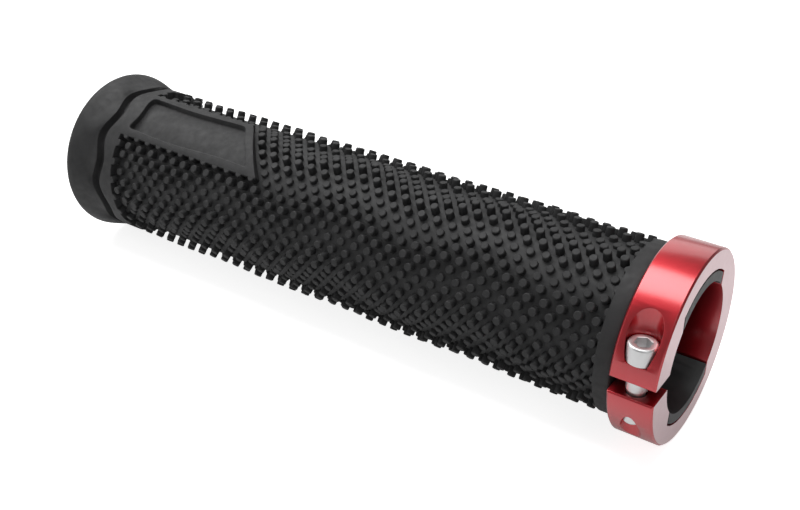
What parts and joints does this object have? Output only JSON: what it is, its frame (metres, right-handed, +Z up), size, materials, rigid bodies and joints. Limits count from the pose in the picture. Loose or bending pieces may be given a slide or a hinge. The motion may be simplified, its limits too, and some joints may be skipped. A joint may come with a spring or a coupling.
{
  "type": "handlebar grip",
  "caption": "Lock-on bicycle handlebar grip: a studded rubber sleeve on a hard core, with a flange at its closed end and a split clamping ring closed by a cap screw.",
  "frame": {"origin": "on the bore's axis, at the clamping ring's outer face, where the handlebar enters", "axes": "+X along the bore out of its open end, +Z up with one key pocket above and one below, and the ring's split facing -Y"},
  "size_m": [0.13, 0.0335, 0.0336],
  "materials": {
    "rubber": "matt black moulded rubber",
    "hard_core": "dark grey hard plastic",
    "red_aluminium": "red anodised, satin",
    "screw_steel": "bright satin steel"
  },
  "bodies": {
    "root": {"rubber_sleeve": "rubber", "core_sleeve": "hard_core", "clamp_ring": "red_aluminium", "clamp_screw": "screw_steel"}
  },
  "joints": []
}
